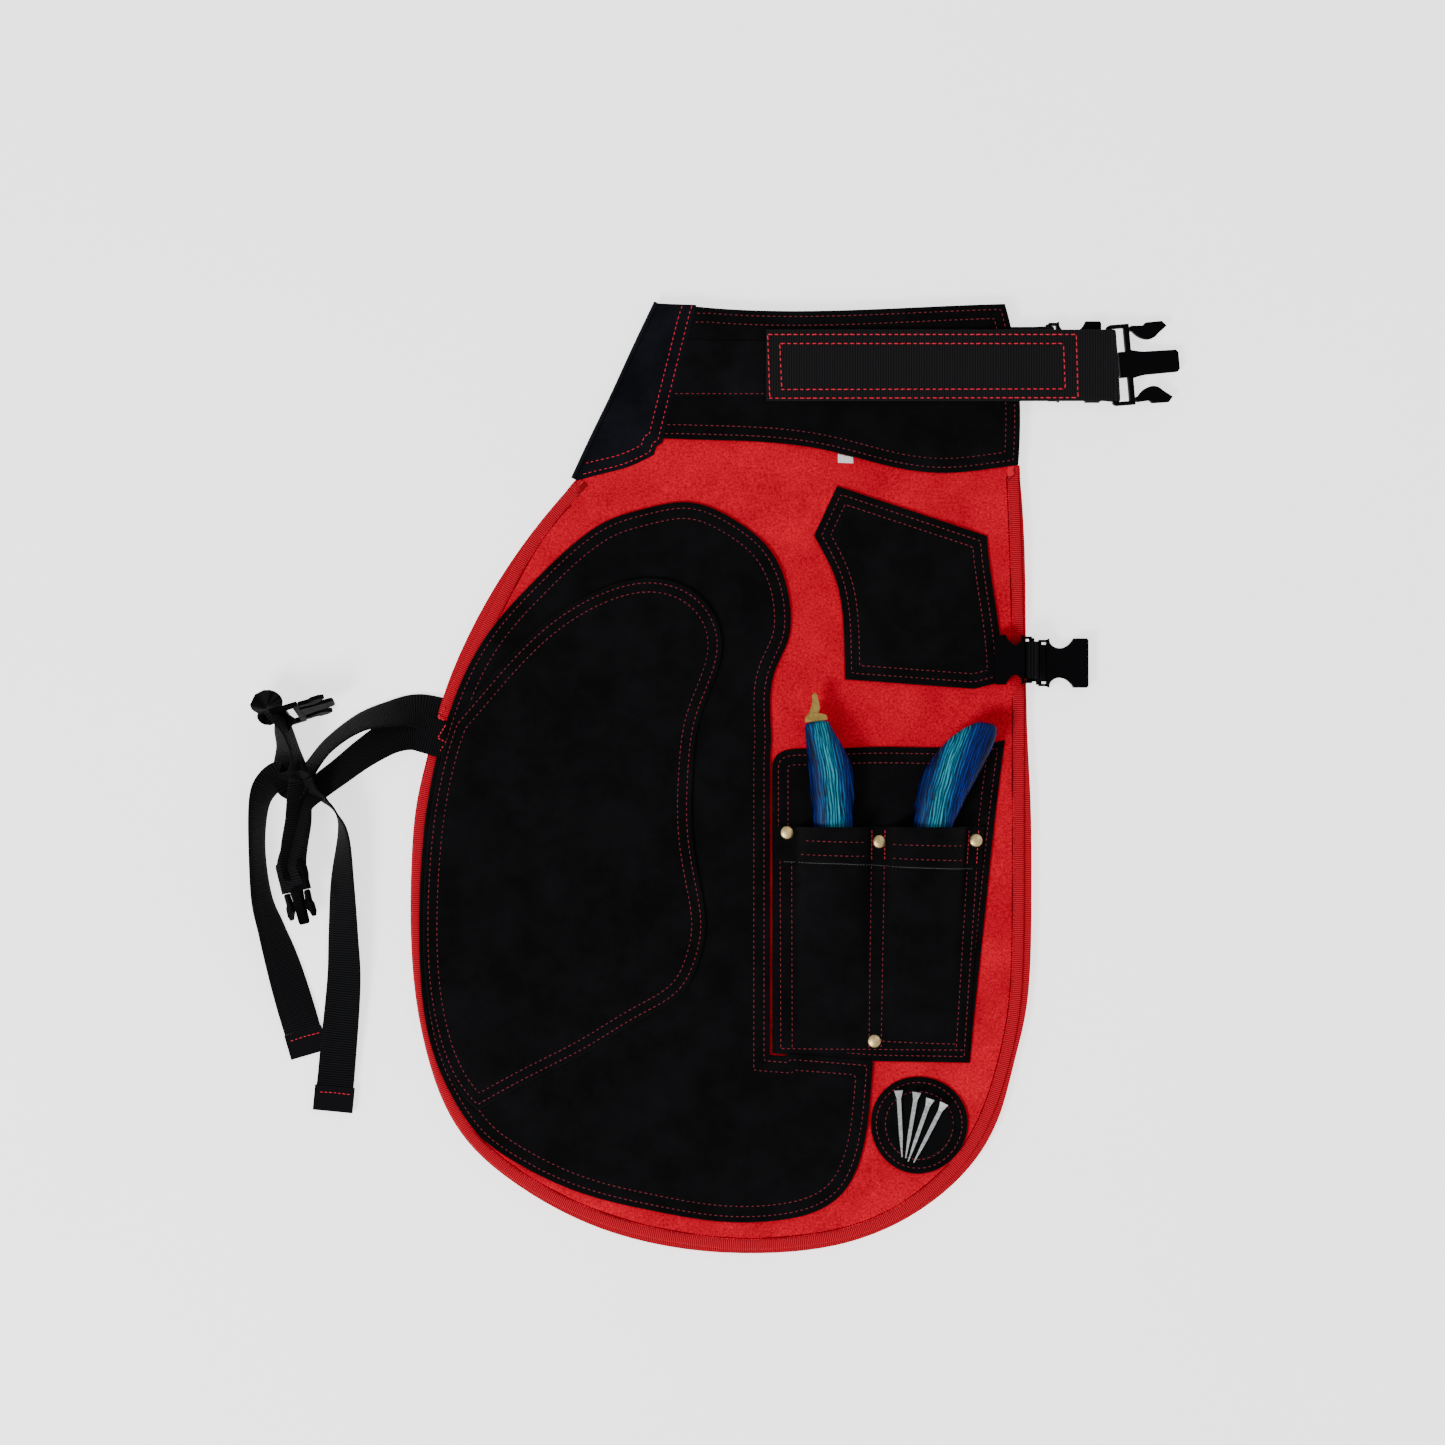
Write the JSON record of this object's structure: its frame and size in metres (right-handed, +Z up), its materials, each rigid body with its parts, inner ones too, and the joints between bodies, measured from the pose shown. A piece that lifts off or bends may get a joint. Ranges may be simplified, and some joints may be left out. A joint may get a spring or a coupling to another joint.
{
  "type": "farrier's apron",
  "caption": "Farrier's apron of canvas and leather, folded in half, with waist strap, leg straps, tool pocket, hoof knives and nail magnet.",
  "frame": {"origin": "under the middle of the folded apron, on the surface it lies on", "axes": "+X from the folded centre front towards the side seam with the buckles, +Y from hem to waist, +Z up"},
  "size_m": [0.6216, 0.634, 0.0345],
  "materials": {
    "canvas_red": "fuzzy twill canvas",
    "binding_red": "ribbed grosgrain tape",
    "leather_black": "napped suede",
    "antique_brass": "antique, satin",
    "magnet": "coated",
    "loop_tape": "loop fastener",
    "webbing_black": "ribbed webbing",
    "tab_plastic": "matte",
    "buckle_plastic": "soft sheen",
    "knife_wood": "dyed laminate, satin",
    "blade_steel": "brushed",
    "pick_brass": "satin",
    "nail_steel": "plain steel",
    "tag_white": "woven, blank"
  },
  "bodies": {
    "right_leaf": {"binding_right": "binding_red", "buckle_loop_right": "webbing_black", "canvas_right": "canvas_red", "centre_gusset": "leather_black", "hip_patch_right": "leather_black", "leg_buckle_male_left_frame": "buckle_plastic", "leg_buckle_male_right_frame": "buckle_plastic", "leg_strap_left": "webbing_black", "leg_strap_left_end": "tab_plastic", "leg_strap_right": "webbing_black", "leg_strap_right_end": "tab_plastic", "loop_strip_right": "loop_tape", "magnet_cover_right": "leather_black", "nail_magnet_right": "magnet", "pocket_back_right": "leather_black", "pocket_band_right": "leather_black", "pocket_front_right": "leather_black", "pocket_rivets_right": "antique_brass", "thigh_patch_right": "leather_black", "waist_strap_right": "webbing_black", "wear_panel_right": "leather_black", "yoke_right": "leather_black"},
    "left_leaf": {"binding_left": "binding_red", "buckle_loop_left": "webbing_black", "canvas_left": "canvas_red", "hip_patch_left": "leather_black", "loop_strip_left": "loop_tape", "magnet_cover_left": "leather_black", "nail_magnet_left": "magnet", "pocket_back_left": "leather_black", "pocket_band_left": "leather_black", "pocket_front_left": "leather_black", "pocket_rivets_left": "antique_brass", "thigh_patch_left": "leather_black", "wear_panel_left": "leather_black", "yoke_left": "leather_black", "size_tag": "tag_white"},
    "waist_strap": {"waist_strap_left": "webbing_black"},
    "waist_buckle_male": {"waist_buckle_male_frame": "buckle_plastic"},
    "waist_arm_left": {"waist_buckle_male_arm_left": "buckle_plastic"},
    "waist_arm_right": {"waist_buckle_male_arm_right": "buckle_plastic"},
    "waist_buckle_female": {"waist_buckle_female": "buckle_plastic"},
    "leg_female_left": {"leg_buckle_female_left": "buckle_plastic"},
    "leg_female_right": {"leg_buckle_female_right": "buckle_plastic"},
    "leg_male_left_arm_left": {"leg_buckle_male_left_arm_left": "buckle_plastic"},
    "leg_male_left_arm_right": {"leg_buckle_male_left_arm_right": "buckle_plastic"},
    "leg_male_right_arm_left": {"leg_buckle_male_right_arm_left": "buckle_plastic"},
    "leg_male_right_arm_right": {"leg_buckle_male_right_arm_right": "buckle_plastic"},
    "hoof_knife_one": {"hoof_knife_one_blade": "blade_steel", "hoof_knife_one_handle": "knife_wood", "hoof_knife_one_pick": "pick_brass"},
    "hoof_knife_two": {"hoof_knife_two_blade": "blade_steel", "hoof_knife_two_handle": "knife_wood"},
    "nail_1": {"horseshoe_nail_1": "nail_steel"},
    "nail_2": {"horseshoe_nail_2": "nail_steel"},
    "nail_3": {"horseshoe_nail_3": "nail_steel"},
    "nail_4": {"horseshoe_nail_4": "nail_steel"}
  },
  "joints": [
    {"name": "centre_fold", "type": "hinge", "parent": "right_leaf", "child": "left_leaf", "pos_m": [-0.097, 0.319, 0.00615], "axis": [-0.475, -0.88, 0], "range_deg": [0, 150], "deforming": ["centre_gusset"]},
    {"name": "waist_strap_slide", "type": "slide", "parent": "left_leaf", "child": "waist_strap", "axis": [1, 0, 0], "range_m": [0, 0.06]},
    {"name": "waist_buckle_turn", "type": "hinge", "parent": "waist_strap", "child": "waist_buckle_male", "pos_m": [0.211, 0.2752, 0.0083], "axis": [-0.0872, 0.9962, 0], "range_deg": [-90, 0]},
    {"name": "waist_arm_left_squeeze", "type": "hinge", "parent": "waist_buckle_male", "child": "waist_arm_left", "pos_m": [0.22439, 0.30006, 0.00659], "axis": [0.1093, 0.0096, 0.994], "range_deg": [-6, 0], "stiffness_Nm_per_rad": 0.1},
    {"name": "waist_arm_right_squeeze", "type": "hinge", "parent": "waist_buckle_male", "child": "waist_arm_right", "pos_m": [0.2285, 0.25304, 0.00659], "axis": [0.1093, 0.0096, 0.994], "range_deg": [0, 6], "stiffness_Nm_per_rad": 0.1},
    {"name": "waist_female_lift", "type": "hinge", "parent": "right_leaf", "child": "waist_buckle_female", "pos_m": [0.169, 0.278, 0.004], "axis": [0, -1, 0], "range_deg": [0, 4]},
    {"name": "leg_female_left_turn", "type": "hinge", "parent": "left_leaf", "child": "leg_female_left", "pos_m": [0.157, 0.079, 0.0138], "axis": [0, 1, 0], "range_deg": [0, 180]},
    {"name": "leg_female_right_turn", "type": "hinge", "parent": "right_leaf", "child": "leg_female_right", "pos_m": [0.1625, 0.077, 0.004], "axis": [0, 1, 0], "range_deg": [-65, 0]},
    {"name": "leg_male_left_arm_left_squeeze", "type": "hinge", "parent": "right_leaf", "child": "leg_male_left_arm_left", "pos_m": [-0.32364, -0.07523, 0.02482], "axis": [-0.7646, -0.1906, 0.6157], "range_deg": [-8, 0], "stiffness_Nm_per_rad": 0.03},
    {"name": "leg_male_left_arm_right_squeeze", "type": "hinge", "parent": "right_leaf", "child": "leg_male_left_arm_right", "pos_m": [-0.33929, -0.07913, 0.00418], "axis": [-0.7646, -0.1906, 0.6157], "range_deg": [0, 8], "stiffness_Nm_per_rad": 0.03},
    {"name": "leg_male_right_arm_left_squeeze", "type": "hinge", "parent": "right_leaf", "child": "leg_male_right_arm_left", "pos_m": [-0.32729, 0.04945, 0.03056], "axis": [0.2781, -0.9095, 0.309], "range_deg": [-8, 0], "stiffness_Nm_per_rad": 0.03},
    {"name": "leg_male_right_arm_right_squeeze", "type": "hinge", "parent": "right_leaf", "child": "leg_male_right_arm_right", "pos_m": [-0.32493, 0.04171, 0.00564], "axis": [0.2781, -0.9095, 0.309], "range_deg": [0, 8], "stiffness_Nm_per_rad": 0.03},
    {"name": "hoof_knife_one_slide", "type": "slide", "parent": "left_leaf", "child": "hoof_knife_one", "axis": [-0.1303, 0.9901, 0.0523], "range_m": [0, 0.16]},
    {"name": "hoof_knife_two_slide", "type": "slide", "parent": "left_leaf", "child": "hoof_knife_two", "axis": [0.1044, 0.9932, 0.0523], "range_m": [0, 0.16]},
    {"name": "nail_1_lift", "type": "slide", "parent": "left_leaf", "child": "nail_1", "axis": [0, 0, 1], "range_m": [0, 0.06]},
    {"name": "nail_2_lift", "type": "slide", "parent": "left_leaf", "child": "nail_2", "axis": [0, 0, 1], "range_m": [0, 0.06]},
    {"name": "nail_3_lift", "type": "slide", "parent": "left_leaf", "child": "nail_3", "axis": [0, 0, 1], "range_m": [0, 0.06]},
    {"name": "nail_4_lift", "type": "slide", "parent": "left_leaf", "child": "nail_4", "axis": [0, 0, 1], "range_m": [0, 0.06]}
  ],
  "couplings": [
    {"joint": "waist_arm_right_squeeze", "follows": "waist_arm_left_squeeze", "ratio": -1},
    {"joint": "leg_male_left_arm_right_squeeze", "follows": "leg_male_left_arm_left_squeeze", "ratio": -1},
    {"joint": "leg_male_right_arm_right_squeeze", "follows": "leg_male_right_arm_left_squeeze", "ratio": -1}
  ]
}
